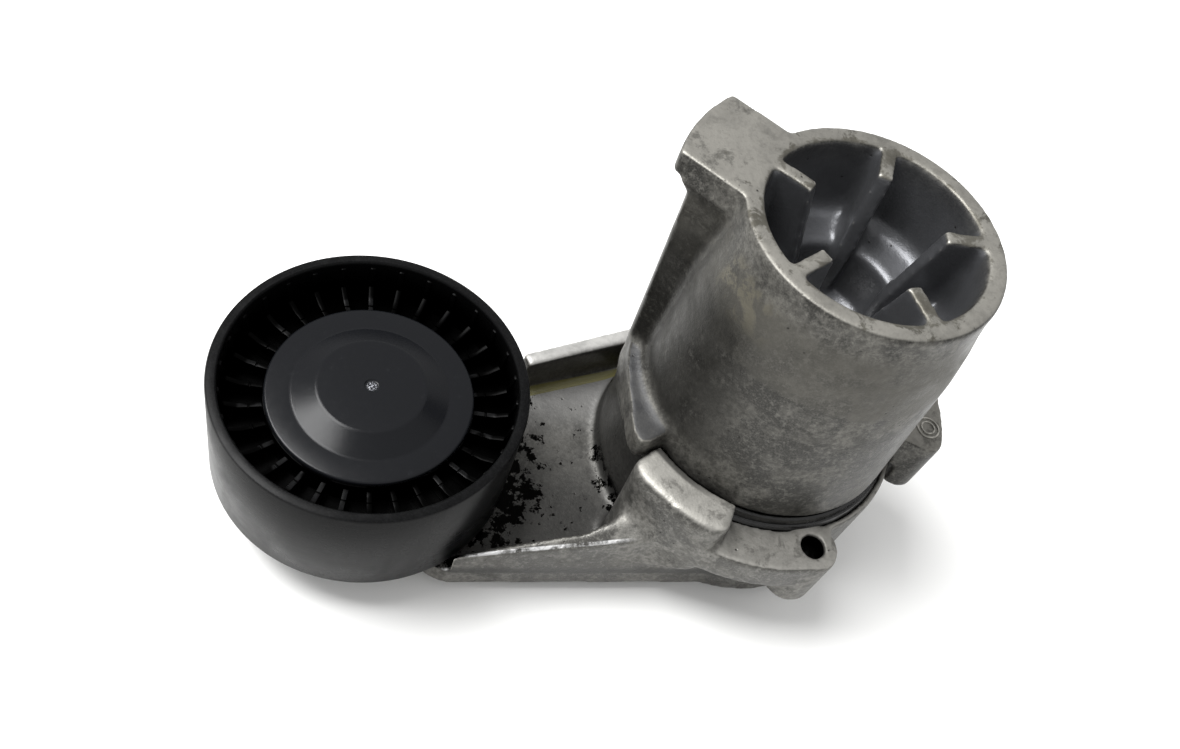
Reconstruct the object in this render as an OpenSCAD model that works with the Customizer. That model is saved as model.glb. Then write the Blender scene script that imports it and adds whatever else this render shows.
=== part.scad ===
// Automatic belt tensioner: a spring housing that bolts to the engine, a sprung arm that turns
// about the housing's axis, and a plastic idler pulley on a ball bearing at the arm's end.
// Millimetres. Z is the pivot axis, with 0 at the mounting bolt's head seat and + to the engine.

/* [Layout] */
// Distance from the pivot axis to the pulley axis
arm_length = 94.8; // [90:0.2:100]
// Height of the engine face above the bolt head seat
engine_face_z = 101.5; // [98:0.5:106]
// Height of the arm's rim, where the arm meets the housing
arm_rim_z = 34.2; // [33.5:0.1:34.4]
// Angle the arm turns from its free stop to its loaded stop
arm_travel = 43.5; // [20:0.5:43.5]

/* [Housing] */
// Radius of the engine face ring
face_ring_r = 28.3; // [27:0.1:30]
// Inside radius of the engine face ring
face_ring_inner_r = 23.8; // [22:0.1:25]
// Radius of the housing where it meets the arm
housing_rim_r = 32.65; // [32:0.05:33]
// Height of the housing's lower edge
housing_rim_z = 37.6; // [37.5:0.1:38]
// Depth of the ribbed recess in the engine face
recess_depth = 33; // [26:0.5:34]
// Number of ribs in the recess
recess_ribs = 5; // [3:1:7]
// Radius of the lug that keys the housing to the engine
lug_r = 42.5; // [40:0.5:44]
// Thickness of the lug
lug_t = 5.6; // [4:0.2:8]

/* [Arm] */
// Bore of the arm's cup
cup_bore_r = 33.9; // [33.8:0.05:34]
// Outside radius of the arm's cup
cup_r = 35.5; // [35.3:0.1:35.6]
// Outside radius of the stop block and the lock pin ear
block_r = 44.3; // [43:0.1:45]
// Height of the stop block's top
block_top_z = 41.75; // [40:0.25:43]
// Height of the web between the two rails
web_z = 10.2; // [9.5:0.1:10.5]
// Height of the rails along the arm's sides
rail_z = 21.5; // [16:0.5:22]
// Radius of the lock pin hole
lock_pin_r = 2.9; // [2.5:0.1:3.2]

/* [Pulley] */
// Radius of the belt face
pulley_r = 35; // [34:0.5:36]
// Width of the belt face
pulley_w = 30; // [29:0.2:30.2]
// Height of the pulley's lower edge
pulley_z = 13.3; // [13.2:0.1:14]
// Number of stiffening ribs on each side
pulley_ribs = 30; // [20:2:36]

/* [Bearing and fasteners] */
// Outside radius of the ball bearing
bearing_r = 20; // [20:0.5:20]
// Bore radius of the ball bearing
bearing_bore_r = 8.5; // [8.5:0.5:8.5]
// Width of the ball bearing
bearing_w = 12; // [12:1:12]
// Number of balls
ball_count = 8; // [7:1:9]
// Thread radius of the pulley bolt
bolt_r = 5; // [4:0.5:5]
// Bore radius of the hollow pivot shaft
mount_bore_r = 5.25; // [4.5:0.25:5.5]

/* [Spring] */
// Radius to the middle of the spring's wire
spring_r = 21.6; // [21:0.1:22]
// Radius of the spring's wire
wire_r = 2.6; // [2:0.1:2.8]
// Number of coils
coils = 7; // [5:0.5:7]

/* [Hidden] */
$fn = 96;
eps = 0.05;
cut = 200;
slip = 0.05;   // radial gap of a running fit

// Housing
lug_angle = 136.5;
lug_near = 14.6;  // half widths of the lug each side of its centre line
lug_far = 9.4;
spine_r = 37.2;
stop_top_z = 45.7;
stop_angle = [158, 206.3];
far_stop_r = 43.5;
far_stop_z = 27.8;
first_rib_angle = -5.5;
recess_rib_t = 3.4;
recess_rib_tip_r = [15.2, 10.3];  // at the face and in the well
recess_floor_z = engine_face_z - recess_depth;
shelf_z = engine_face_z - 20;  // floor of the pockets between the ribs
well_r = 12.8;
chamber_roof_z = recess_floor_z - 5;
chamber_r = 28.2;
skirt_r = 30.9;
skirt_z = 15;
post_r = 14;
post_z = 37.1;
shaft_r = 9;
shaft_top_z = recess_floor_z;

// Arm
arm_z = 3.5;
cup_floor_z = 8.2;
arm_boss_r = 14;
arm_boss_z = 35.5;
bush_bore_r = shaft_r + slip;
bush_r = 11;
block_angle = [-152.9, -116.2];
ear_t = 9;
lock_pin = [4.9, -38.1];
ear_end_r = block_r - norm(lock_pin);
ear_tip_angle = atan2(lock_pin[1], lock_pin[0]) + asin(ear_end_r / norm(lock_pin));
far_stop_angle = [ear_tip_angle + arm_travel + 1.1, ear_tip_angle + arm_travel + 32.1];
lock_boss_z = 16.6;
near_wall = [[-13, -33.3], [-76, -31.3]];
near_rail_in = [[-73.5, -29.6], [-60.8, -29.1], [-46.5, -29.2], [-39.9, -26.7], [-31, -20]];
near_round = [-74, -21.4, 9.9];
near_rail_slope = 0.29;  // the near rail climbs towards the block
block_foot = [[block_angle[1], 24.7], [-138, 11.2]];  // angle and height of its slanted underside
far_wall = [[-11.4, 36.6], [-54.5, 23.1]];
far_rail_in = [[-24, 28.1], [-53.3, 19.4]];
arm_end_r = 10.8;
bearing_boss_r = 12.4;
hex_af = 19;

// Retaining plate and washers
plate_r = 19.5;
plate_t = 2.2;

// Bearing and its stack
bearing_z = 21.4;
bearing_mid_z = bearing_z + bearing_w / 2;
bearing_top_z = bearing_z + bearing_w;
pitch_r = (bearing_r + bearing_bore_r) / 2;
ball_r = 3.37;
groove_r = ball_r + 0.05;
inner_ring_r = 11.6;
outer_ring_r = 16.9;
seal_t = 0.9;
shield_t = 0.8;
flange_t = 1.1;
boss_top_z = bearing_z - shield_t - flange_t;
washer_t = 1.3;

// Pulley
pulley_top_z = pulley_z + pulley_w;
rim_t = 2.5;
hub_r = 23.4;
hub_z = [17.2, 36.3];
pulley_web_z = [26.2, 30.6];
pulley_rib_t = 1.3;

// Cap
cap_r = 23.1;
cap_top_z = pulley_top_z - 5.5;
cap_t = 1.5;
cap_rise = 2.7;
cap_cone_r = [17.4, 12.2];

// Points of an annular sector from radius r0 to r1, with its outer corners rounded by c0 and c1.
function polar(r, a) = [r * cos(a), r * sin(a)];
function corner_step(r1, c) = c > 0 ? asin(c / (r1 - c)) : 0;
function sector(r0, r1, a0, a1, c0 = 0, c1 = 0) =
    let (s0 = corner_step(r1, c0), s1 = corner_step(r1, c1))
    concat(
        [for (i = [0:10]) polar(r0, a1 + (a0 - a1) * i / 10)],
        c0 > 0 ? [for (t = [0:5]) polar(r1 - c0, a0 + s0) + polar(c0, a0 + s0 - 90 + 18 * t)] : [],
        [for (i = [0:10]) polar(r1, a0 + s0 + (a1 - s1 - a0 - s0) * i / 10)],
        c1 > 0 ? [for (t = [0:5]) polar(r1 - c1, a1 - s1) + polar(c1, a1 - s1 + 18 * t)] : []);

module ring(r_out, r_in, z0, z1) {
    translate([0, 0, z0]) difference() {
        cylinder(r = r_out, h = z1 - z0);
        translate([0, 0, -1]) cylinder(r = r_in, h = z1 - z0 + 2);
    }
}

module at_pulley() {
    translate([-arm_length, 0, 0]) children();
}

// The housing's outside: a ring at the engine face that flares out to the rim at the arm.
module housing_body() {
    rotate_extrude() polygon([
        [0, post_z], [0, engine_face_z], [face_ring_r - 0.5, engine_face_z],
        [face_ring_r, engine_face_z - 0.5], [face_ring_r, engine_face_z - 4],
        [face_ring_r + 0.5, engine_face_z - 9], [face_ring_r + 1.5, engine_face_z - 15],
        [face_ring_r + 2.3, engine_face_z - 23], [face_ring_r + 3, engine_face_z - 36],
        [housing_rim_r - 0.2, housing_rim_z + 8], [housing_rim_r, housing_rim_z + 1.2],
        [housing_rim_r - 0.6, housing_rim_z], [skirt_r, housing_rim_z], [skirt_r, skirt_z + 0.6],
        [skirt_r - 0.6, skirt_z], [chamber_r, skirt_z], [chamber_r, post_z]]);
}

// A slab along the lug's direction, bounded by the lug's two side faces.
module lug_slab(z0, z1) {
    rotate([0, 0, lug_angle]) translate([0, -lug_far, z0])
        cube([lug_r + 5, lug_near + lug_far, z1 - z0]);
}

module key_lug() {
    intersection() {
        lug_slab(engine_face_z - lug_t, engine_face_z);
        translate([0, 0, engine_face_z - lug_t]) cylinder(r = lug_r, h = lug_t);
    }
    intersection() {
        lug_slab(stop_top_z - 1, engine_face_z - lug_t + 1);
        translate([0, 0, stop_top_z - 1])
            cylinder(r1 = spine_r - 0.4, r2 = spine_r + 0.9, h = engine_face_z - stop_top_z);
    }
}

// The free stop: a flange that grows from the lug's spine towards the arm's block.
module free_stop() {
    stop_z = [35.4, 38.8];
    outline = concat(
        [for (a = [stop_angle[0]:5:stop_angle[1]]) polar(31, a)], [polar(31, stop_angle[1])],
        [polar(38.6, stop_angle[1]), polar(39.9, stop_angle[1] - 0.7)],
        [for (a = [stop_angle[1] - 2:-5:stop_angle[0]])
            polar(36.4 + 4.3 * pow((a - stop_angle[0]) / 46, 1.3), a)]);
    translate([0, 0, stop_z[1]]) linear_extrude(stop_top_z - stop_z[1]) polygon(outline);
    translate([0, 0, stop_z[0]]) linear_extrude(stop_z[1] - stop_z[0] + eps)
        polygon(sector(34.5, 37.2, stop_angle[0] + 2, stop_angle[1]));
}

// The loaded stop: a lug that hangs down outside the arm's cup, in the ear's path.
module loaded_stop() {
    difference() {
        translate([0, 0, far_stop_z]) linear_extrude(stop_top_z - far_stop_z)
            polygon(sector(30.5, far_stop_r, far_stop_angle[0], far_stop_angle[1], 4, 4));
        translate([0, 0, far_stop_z - 1])
            cylinder(r = cup_r + 1.2, h = arm_rim_z + 1 - (far_stop_z - 1));
        translate([0, 0, far_stop_z])
            cylinder(r = cup_bore_r + 0.6, h = housing_rim_z - far_stop_z);
    }
}

// The recess behind the engine face: a steep wall, a shelf and a well in the middle.
module recess() {
    wall_r = face_ring_inner_r - 1.1;
    fillet_r = 3.2;
    rotate_extrude() polygon(concat(
        [[0, recess_floor_z], [well_r - 0.4, recess_floor_z], [well_r, shelf_z - 1.8],
         [well_r + 0.5, shelf_z - 0.7], [well_r + 1.5, shelf_z - 0.1]],
        [for (t = [0:6]) [wall_r - fillet_r + fillet_r * sin(15 * t),
                          shelf_z + 1 + fillet_r - fillet_r * cos(15 * t)]],
        [[face_ring_inner_r, engine_face_z - 0.8], [face_ring_inner_r + 0.5, engine_face_z + 0.1],
         [0, engine_face_z + 0.1]]));
}

module recess_rib() {
    rotate([90, 0, 0]) linear_extrude(recess_rib_t, center = true) polygon([
        [recess_rib_tip_r[0], engine_face_z], [recess_rib_tip_r[1], shelf_z - 1],
        [recess_rib_tip_r[1], recess_floor_z - 1],
        [20, recess_floor_z - 1], [face_ring_inner_r + 2, engine_face_z - 18],
        [face_ring_inner_r + 2, engine_face_z]]);
}

module spring_housing() {
    color("darkgray") difference() {
        union() {
            difference() {
                union() {
                    housing_body();
                    key_lug();
                    free_stop();
                    loaded_stop();
                }
                recess();
                ring(chamber_r, post_r, skirt_z - 1, chamber_roof_z);
            }
            for (i = [0:recess_ribs - 1])
                rotate([0, 0, first_rib_angle + i * 360 / recess_ribs]) recess_rib();
        }
        translate([0, 0, post_z - 1]) cylinder(r = shaft_r, h = recess_floor_z - post_z + 2);
    }
}

// Hollow steel shaft, pressed into the housing's post; the mounting bolt passes through it.
module pivot_shaft() {
    neck_r = 7.6;
    color("silver") difference() {
        union() {
            translate([0, 0, plate_t]) cylinder(r = shaft_r, h = shaft_top_z - plate_t);
            cylinder(r = neck_r, h = plate_t + eps);
        }
        translate([0, 0, -1]) cylinder(r = mount_bore_r, h = shaft_top_z + 2);
    }
}

// Steel plate riveted to the shaft, which holds the arm on.
module retaining_plate() {
    color("gray") ring(plate_r, 7.6, 0, plate_t);
}

// One round wire wound as a coil, each end cut square.
function coil_point(a, r_off, z_off, z0, pitch) =
    [(spring_r + r_off) * cos(a), (spring_r + r_off) * sin(a), z0 + pitch * a / 360 + z_off];
module torsion_spring() {
    sides = 10;
    steps = 22 * coils;
    z0 = cup_floor_z + 1.6 + wire_r;
    pitch = (chamber_roof_z - 0.6 - wire_r - z0) / coils;
    points = [for (i = [0:steps], s = [0:sides - 1]) coil_point(360 * coils * i / steps,
              wire_r * cos(360 * s / sides), wire_r * sin(360 * s / sides), z0, pitch)];
    color("dimgray") polyhedron(points, concat(
        [[for (s = [0:sides - 1]) s]],
        [for (i = [0:steps - 1], s = [0:sides - 1])
            [i * sides + s, (i + 1) * sides + s, (i + 1) * sides + (s + 1) % sides,
             i * sides + (s + 1) % sides]],
        [[for (s = [sides - 1:-1:0]) steps * sides + s]]));
}

// The arm's plan: side walls from the cup to a round end under the pulley.
module arm_plan() {
    hull() {
        translate([-arm_length, 0]) circle(r = arm_end_r, $fn = 64);
        translate([near_round[0], near_round[1]]) circle(r = near_round[2], $fn = 64);
        polygon([near_wall[0], near_wall[1], far_wall[0], far_wall[1], [0, 0]]);
    }
    circle(r = cup_r);
}

module arm_rails() {
    near_rail_z = [17, 32];  // at its low end, and where it is lost in the block
    difference() {
        union() {
            translate([0, 0, arm_z]) linear_extrude(near_rail_z[1] - arm_z)
                polygon(concat(near_wall, near_rail_in, [polar(34, -125), polar(34, -113)]));
            translate([0, 0, arm_z]) linear_extrude(rail_z - arm_z)
                polygon([far_wall[0], far_wall[1], far_rail_in[1], far_rail_in[0], [-12, 31]]);
        }
        at_pulley() translate([0, 0, web_z]) cylinder(r = pulley_r + 2, h = cut);
        translate([near_wall[1][0], -cut / 4, near_rail_z[0]]) rotate([0, -atan(near_rail_slope), 0])
            translate([-cut / 2, 0, 0]) cube([cut, cut / 4, cut / 4]);
    }
}

// The stop block: its outer top edge is well rounded, and it overhangs the arm's near wall.
module stop_block() {
    edge_r = 2.6;
    foot = [for (p = block_foot) [block_r * cos(p[0]), block_r * sin(p[0]), p[1]]];
    run = foot[1] - foot[0];
    difference() {
        block_above_foot(edge_r);
        translate(foot[0]) rotate([0, atan2(-run[2], norm([run[0], run[1]])), atan2(run[1], run[0])])
            translate([-20, -20, -60]) cube([80, 40, 60]);
    }
}

module block_above_foot(edge_r) {
    intersection() {
        translate([0, 0, arm_z]) linear_extrude(block_top_z - arm_z)
            polygon(sector(cup_bore_r + 0.4, block_r + 1, block_angle[0], block_angle[1], 4.5, 0.6));
        rotate_extrude() polygon(concat(
            [[0, arm_z], [block_r + 0.2, arm_z]],
            [for (t = [0:5]) [block_r - edge_r + edge_r * cos(18 * t),
                              block_top_z - edge_r + edge_r * sin(18 * t)]],
            [[0, block_top_z]]));
    }
}

module lock_pin_ear() {
    translate([0, 0, arm_rim_z - ear_t]) linear_extrude(ear_t) {
        polygon(sector(cup_bore_r + 0.3, block_r, block_angle[1] - 4,
                       atan2(lock_pin[1], lock_pin[0])));
        translate(lock_pin) circle(r = ear_end_r);
        polygon([lock_pin, lock_pin + polar(ear_end_r, 25), polar(cup_r - 1, -71),
                 polar(cup_r - 1, -86)]);
    }
    translate([lock_pin[0], lock_pin[1], lock_boss_z])
        cylinder(r = ear_end_r, h = arm_rim_z - lock_boss_z);
}

module hexagon_boss() {
    at_pulley() cylinder(r = hex_af / sqrt(3), h = arm_z + eps, $fn = 6);
}

module tensioner_arm() {
    color("darkgray") difference() {
        union() {
            difference() {
                union() {
                    translate([0, 0, arm_z]) linear_extrude(web_z - arm_z) arm_plan();
                    translate([0, 0, arm_z]) cylinder(r = cup_r, h = arm_rim_z - arm_z);
                    arm_rails();
                    stop_block();
                    lock_pin_ear();
                }
                translate([0, 0, cup_floor_z]) cylinder(r = cup_bore_r, h = cut);
            }
            translate([0, 0, arm_z]) cylinder(r = arm_boss_r, h = arm_boss_z - arm_z);
            at_pulley() translate([0, 0, arm_z])
                cylinder(r = bearing_boss_r, h = boss_top_z - arm_z);
            hexagon_boss();
        }
        translate([0, 0, -1]) cylinder(r = bush_r, h = cut);
        translate([lock_pin[0], lock_pin[1], lock_boss_z - 1]) cylinder(r = lock_pin_r, h = cut);
        at_pulley() translate([0, 0, -1]) cylinder(r = bolt_r, h = cut);
    }
}

// Flanged plain bush; the upper one's flange carries the housing's post.
module upper_pivot_bush() {
    color("peru") {
        ring(bush_r, bush_bore_r, 22, arm_boss_z);
        ring(arm_boss_r - 0.5, bush_bore_r, arm_boss_z, arm_boss_z + 1.4);
    }
}

module lower_pivot_bush() {
    color("peru") ring(bush_r, bush_bore_r, arm_z + 0.3, 17);
}

module thrust_washer() {
    color("ivory") ring(18.4, bush_bore_r + 0.3, plate_t + 0.1, arm_z);
}

module spring_seat() {
    color("ivory") {
        ring(26.6, arm_boss_r + 0.1, cup_floor_z, cup_floor_z + 1.4);
        ring(26.6, 25.2, cup_floor_z + 1, cup_floor_z + 5);
    }
}

// Split nylon band that rubs between the housing's skirt and the arm's cup.
module friction_lining() {
    split = 14;
    color("ivory") translate([0, 0, cup_floor_z]) linear_extrude(24.5)
        polygon(concat(
            [for (i = [0:72]) polar(cup_bore_r - 0.05, split + (360 - 2 * split) * i / 72)],
            [for (i = [72:-1:0]) polar(skirt_r + 0.35, split + (360 - 2 * split) * i / 72)]));
}

// Black lip seal in the gap between the housing's rim and the arm's cup.
module rim_seal() {
    color([0.05, 0.05, 0.05]) rotate_extrude() polygon([
        [skirt_r + 0.3, 33], [cup_bore_r, 33], [cup_bore_r, 34], [cup_bore_r - 0.5, 34.9],
        [cup_bore_r - 0.9, 35], [cup_bore_r - 1.1, 36.9], [cup_bore_r - 1.7, 37.1],
        [skirt_r + 0.3, 36.2]]);
}

module rear_dust_shield() {
    color("gainsboro") at_pulley() {
        ring(18.6, bolt_r + 0.1, boss_top_z, boss_top_z + shield_t);
        ring(18.6, 17.9, boss_top_z - 1.3, boss_top_z + eps);
    }
}

module spacer_sleeve() {
    color("silver") at_pulley() {
        ring(bearing_bore_r, bolt_r + 0.15, bearing_z, bearing_top_z - 0.2);
        ring(11, bolt_r + 0.15, boss_top_z + shield_t, bearing_z);
    }
}

module ball_track(r) {
    translate([0, 0, bearing_mid_z]) rotate_extrude() translate([pitch_r, 0]) circle(r = r, $fn = 48);
}

module bearing_inner_ring() {
    color("silver") at_pulley() difference() {
        ring(inner_ring_r, bearing_bore_r, bearing_z, bearing_top_z);
        ball_track(groove_r);
    }
}

module bearing_outer_ring() {
    color("silver") at_pulley() difference() {
        ring(bearing_r, outer_ring_r, bearing_z, bearing_top_z);
        ball_track(groove_r);
    }
}

module each_ball() {
    for (i = [0:ball_count - 1]) rotate([0, 0, 360 * i / ball_count])
        translate([pitch_r, 0, bearing_mid_z]) children();
}

module bearing_balls() {
    color("white") at_pulley() each_ball() sphere(r = ball_r, $fn = 48);
}

// Crown cage: a ring with an open pocket for each ball.
module ball_cage() {
    color("peru") at_pulley() difference() {
        ring(pitch_r + 1.6, pitch_r - 1.6, bearing_mid_z - 4.3, bearing_mid_z + 1.4);
        each_ball() sphere(r = ball_r + 0.06, $fn = 48);
    }
}

module bearing_seal(z) {
    color("saddlebrown") at_pulley() ring(outer_ring_r, inner_ring_r + 0.3, z, z + seal_t);
}

module bearing_seal_front() { bearing_seal(bearing_top_z - seal_t - 0.1); }
module bearing_seal_rear() { bearing_seal(bearing_z + 0.1); }

module bolt_washer() {
    color("silver") at_pulley() ring(10.6, bolt_r + 0.2, bearing_top_z, bearing_top_z + washer_t);
}

// Low flanged hexagon bolt that clamps the bearing's inner ring to the arm.
module pulley_bolt() {
    head_z = bearing_top_z + washer_t;
    color("dimgray") at_pulley() {
        translate([0, 0, 1.2]) cylinder(r = bolt_r, h = head_z - 1.2 + eps);
        translate([0, 0, head_z]) cylinder(r = 9, h = 1.2);
        translate([0, 0, head_z + 1]) cylinder(r = 15 / sqrt(3), h = 2.7, $fn = 6);
    }
}

module pulley_section() {
    rim_in = pulley_r - rim_t;
    rotate_extrude() polygon([
        [bearing_r, bearing_z - 0.1], [bearing_r - 0.6, bearing_z - 0.1], [bearing_r - 0.6, hub_z[0]],
        [hub_r, hub_z[0]], [hub_r + 0.3, pulley_web_z[0]], [rim_in - 0.4, pulley_web_z[0]],
        [rim_in, pulley_z + 1], [rim_in + 0.4, pulley_z], [pulley_r - 0.5, pulley_z],
        [pulley_r, pulley_z + 0.5], [pulley_r, pulley_top_z - 0.5], [pulley_r - 0.5, pulley_top_z],
        [rim_in + 0.4, pulley_top_z], [rim_in, pulley_top_z - 1], [rim_in - 0.4, pulley_web_z[1]],
        [hub_r + 0.3, pulley_web_z[1]], [hub_r, hub_z[1]], [bearing_r, hub_z[1]]]);
}

// One radial rib on each side of the web, lower at the hub than at the rim.
module pulley_rib() {
    rim_in = pulley_r - rim_t;
    rotate([90, 0, 0]) linear_extrude(pulley_rib_t, center = true) {
        polygon([[hub_r - 0.3, pulley_web_z[1] - 1], [hub_r - 0.3, hub_z[1] - 1.2],
                 [rim_in + 0.6, pulley_top_z - 4.5], [rim_in + 0.6, pulley_web_z[1] - 1]]);
        polygon([[hub_r - 0.3, pulley_web_z[0] + 1], [hub_r - 0.3, hub_z[0] + 1.2],
                 [rim_in + 0.6, pulley_z + 3], [rim_in + 0.6, pulley_web_z[0] + 1]]);
    }
}

module pulley_wheel() {
    color([0.1, 0.1, 0.11]) at_pulley() {
        pulley_section();
        for (i = [0:pulley_ribs - 1]) rotate([0, 0, i * 360 / pulley_ribs]) pulley_rib();
    }
}

// Snap-in cap: a flat flange, a cone and a raised middle, with a skirt inside the pulley's hub.
module dust_cap() {
    skirt_low_z = bearing_top_z + 0.6;
    under_z = cap_top_z - cap_t;
    rise_z = cap_top_z + cap_rise;
    color([0.14, 0.14, 0.15]) at_pulley() rotate_extrude() polygon([
        [0, rise_z - cap_t], [cap_cone_r[1] - 0.4, rise_z - cap_t],
        [cap_cone_r[0] - 0.4, under_z], [18.4, under_z], [18.4, skirt_low_z],
        [bearing_r - 0.1, skirt_low_z], [bearing_r - 0.1, under_z], [cap_r - 0.3, under_z],
        [cap_r, under_z + 0.4], [cap_r, cap_top_z - 0.4], [cap_r - 0.4, cap_top_z],
        [cap_cone_r[0], cap_top_z], [cap_cone_r[1], rise_z], [1.6, rise_z], [1.3, rise_z - 0.4],
        [0, rise_z - 0.4]]);
}

spring_housing();
pivot_shaft();
retaining_plate();
torsion_spring();
tensioner_arm();
upper_pivot_bush();
lower_pivot_bush();
thrust_washer();
spring_seat();
friction_lining();
rim_seal();
rear_dust_shield();
spacer_sleeve();
bearing_inner_ring();
bolt_washer();
pulley_bolt();
bearing_outer_ring();
bearing_balls();
ball_cage();
bearing_seal_front();
bearing_seal_rear();
pulley_wheel();
dust_cap();
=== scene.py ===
import math

import bmesh
import bpy
from mathutils import Matrix, Vector


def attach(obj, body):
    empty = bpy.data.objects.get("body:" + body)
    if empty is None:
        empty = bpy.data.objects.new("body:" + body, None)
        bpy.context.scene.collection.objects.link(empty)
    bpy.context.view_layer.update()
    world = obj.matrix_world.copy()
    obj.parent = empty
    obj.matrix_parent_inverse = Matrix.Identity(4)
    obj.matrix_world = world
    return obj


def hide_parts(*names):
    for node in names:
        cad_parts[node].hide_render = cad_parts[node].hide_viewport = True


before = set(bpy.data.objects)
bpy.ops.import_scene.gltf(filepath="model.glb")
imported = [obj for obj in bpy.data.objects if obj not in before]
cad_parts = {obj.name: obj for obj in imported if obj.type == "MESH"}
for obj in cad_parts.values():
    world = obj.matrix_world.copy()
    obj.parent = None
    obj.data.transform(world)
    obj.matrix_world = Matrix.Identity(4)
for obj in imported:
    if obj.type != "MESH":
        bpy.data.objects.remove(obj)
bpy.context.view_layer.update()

# ------------------------------------------------------------------ Spring housing
# A die-cast aluminium body: an engine face ring with a ribbed recess inside it, a key lug on a
# spine, the free stop that the arm's block rests on, and the loaded stop that hangs beside the cup.
# The mounting bolt holds it to the engine, and everything else hangs on it.


def polar(r, deg):
    """A point in plan, in millimetres, at radius r about the pivot axis."""
    return Vector((r * math.cos(math.radians(deg)), r * math.sin(math.radians(deg)), 0))


def arc(r, start, end, count, centre=(0, 0)):
    """Points along an arc in plan, from angle start to angle end."""
    about = Vector((centre[0], centre[1], 0))
    return [about + polar(r, start + (end - start) * i / count) for i in range(count + 1)]


def turned(bm, profile, steps=144, centre=(0, 0), closed=True):
    """Adds a solid turned about a vertical axis from a profile of (radius, height) points."""
    old = set(bm.verts)
    verts = [bm.verts.new((r, 0, z)) for r, z in profile]
    ends = verts[1:] + verts[:1] if closed else verts[1:]
    edges = [bm.edges.new(pair) for pair in zip(verts, ends)]
    bmesh.ops.spin(bm, geom=verts + edges, cent=(0, 0, 0), axis=(0, 0, 1), angle=math.tau,
                   steps=steps, use_merge=True)
    bmesh.ops.remove_doubles(bm, verts=[v for v in bm.verts if v not in old], dist=1e-4)
    bmesh.ops.translate(bm, verts=[v for v in bm.verts if v not in old],
                        vec=(centre[0], centre[1], 0))


def slab(bm, outline, z0, z1, flare=1.0):
    """Adds a solid slab between two heights from an outline in plan, and returns the vertices of
    its top, which flare scales about the pivot axis."""
    face = bm.faces.new([bm.verts.new((p[0], p[1], z0)) for p in outline])
    made = bmesh.ops.extrude_face_region(bm, geom=[face], use_keep_orig=True)["geom"]
    top = [g for g in made if isinstance(g, bmesh.types.BMVert)]
    bmesh.ops.translate(bm, verts=top, vec=(0, 0, z1 - z0))
    bmesh.ops.scale(bm, verts=top, vec=(flare, flare, 1))
    return top


def applied(mesh, kind, **settings):
    """The mesh that a modifier makes of this one."""
    holder = bpy.data.objects.new("holder", mesh)
    bpy.context.scene.collection.objects.link(holder)
    modifier = holder.modifiers.new("change", kind)
    for key, value in settings.items():
        setattr(modifier, key, value)
    graph = bpy.context.evaluated_depsgraph_get()
    made = bpy.data.meshes.new_from_object(holder.evaluated_get(graph))
    bpy.data.objects.remove(holder)
    return made


def relax(bm, verts, rounds):
    """Smooths these vertices for a number of rounds."""
    for _ in range(rounds):
        bmesh.ops.smooth_vert(bm, verts=verts, factor=0.5, use_axis_x=True, use_axis_y=True,
                              use_axis_z=True)


def cast(bm, voxel, creep, keep):
    """Fuses the overlapping solids of a casting into one skin, rounds its edges a little, lets the
    metal creep into its inside corners for a number of rounds, and keeps this share of faces."""
    bmesh.ops.recalc_face_normals(bm, faces=bm.faces)
    rough = bpy.data.meshes.new("rough")
    bm.to_mesh(rough)
    skin = applied(rough, "REMESH", mode="VOXEL", voxel_size=voxel, adaptivity=0.0)
    bm.clear()
    bm.from_mesh(skin)
    relax(bm, bm.verts, 5)
    dip = 0.012 * voxel
    for _ in range(creep):
        bm.normal_update()
        hollow = []
        for v in bm.verts:
            near = Vector()
            for e in v.link_edges:
                near += e.other_vert(v).co
            if (near / len(v.link_edges) - v.co).dot(v.normal) > dip:
                hollow.append(v)
        relax(bm, hollow, 8)
    bm.to_mesh(skin)
    light = applied(skin, "DECIMATE", ratio=keep)
    bm.clear()
    bm.from_mesh(light)


def stand(rib, deg):
    """Stands a rib that was drawn flat on its edge, and turns it about the axis."""
    for turn, axis in ((90, "X"), (deg, "Z")):
        bmesh.ops.rotate(rib, verts=rib.verts, matrix=Matrix.Rotation(math.radians(turn), 3, axis))


def add_part(bm, part):
    """Adds a shape made on its own to a casting or a moulding."""
    mesh = bpy.data.meshes.new("part")
    part.to_mesh(mesh)
    part.free()
    bm.from_mesh(mesh)
    bpy.data.meshes.remove(mesh)


def finished(name, bm, body, nodes, material, sharp=None):
    """Turns a bmesh in millimetres into a piece in metres that stands for CAD nodes."""
    bmesh.ops.scale(bm, verts=bm.verts, vec=(0.001, 0.001, 0.001))
    bmesh.ops.recalc_face_normals(bm, faces=bm.faces)
    mesh = bpy.data.meshes.new(name)
    bm.to_mesh(mesh)
    bm.free()
    piece = bpy.data.objects.new(name, mesh)
    bpy.context.scene.collection.objects.link(piece)
    mesh.shade_smooth()
    if sharp:
        mesh.set_sharp_from_angle(angle=math.radians(sharp))
    mesh.materials.append(material)
    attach(piece, body)
    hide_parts(*nodes)


def wire(tree, kind, inputs=None, **settings):
    """Adds a node. Each input is a value, or the socket that feeds it."""
    made = tree.nodes.new(kind)
    for key, value in settings.items():
        setattr(made, key, value)
    for key, value in (inputs or {}).items():
        if isinstance(value, bpy.types.NodeSocket):
            tree.links.new(value, made.inputs[key])
        else:
            made.inputs[key].default_value = value
    return made


def link(tree, sockets, values):
    """Links values to the sockets of these names."""
    for key, value in values.items():
        tree.links.new(value, sockets[key])


def ramp(tree, value, low, high, bottom=0.0, top=1.0):
    """A value eased from bottom to top as the input runs from low to high."""
    made = wire(tree, "ShaderNodeMapRange", {"Value": value, "From Min": low, "From Max": high,
                                             "To Min": bottom, "To Max": top},
                interpolation_type="SMOOTHSTEP")
    return made.outputs["Result"]


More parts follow.
